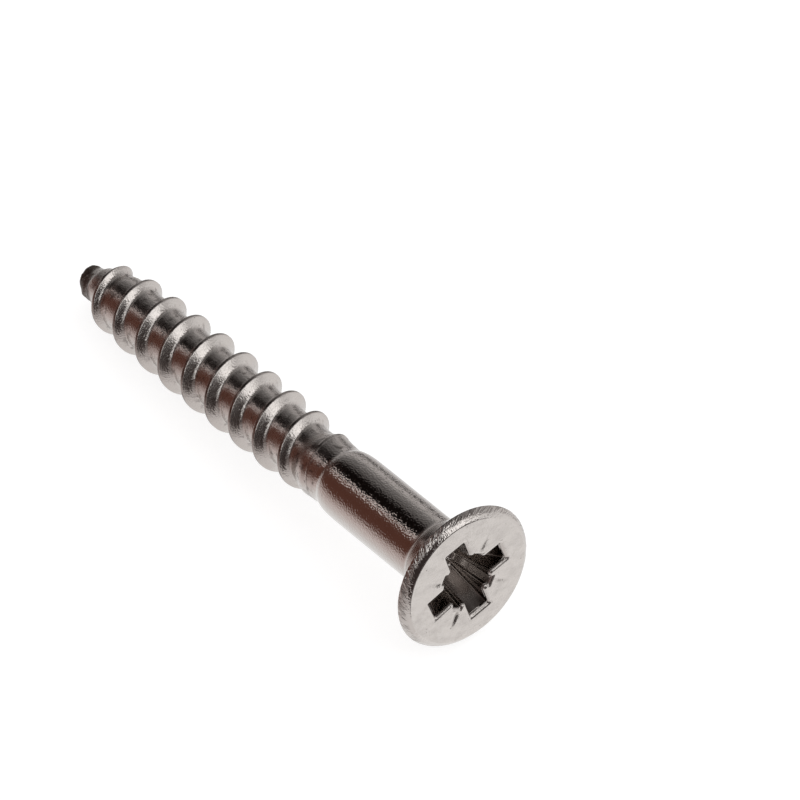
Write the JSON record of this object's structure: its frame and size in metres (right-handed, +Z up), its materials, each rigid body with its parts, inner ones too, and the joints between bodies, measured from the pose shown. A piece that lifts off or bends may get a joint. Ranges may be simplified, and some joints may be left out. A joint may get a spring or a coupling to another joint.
{
  "type": "countersunk wood screw",
  "caption": "Countersunk wood screw with a cross recess, plain shank, coarse right-hand thread and gimlet point, lying on its side.",
  "frame": {"origin": "on the ground that the screw lies on, under the middle of its bounding box", "axes": "+X towards the head, along the ground under the screw's axis; +Z up. The screw rests on the edge of its head and on a thread crest near the point, so its axis lies in the XZ plane and leans down by about 4.4 degrees towards the point"},
  "size_m": [0.0296, 0.0074, 0.0073],
  "materials": {
    "plated_steel": "bright nickel plate, lightly grained, with tool marks at the head edge and the point"
  },
  "bodies": {
    "root": {"wood_screw": "plated_steel"}
  },
  "joints": []
}
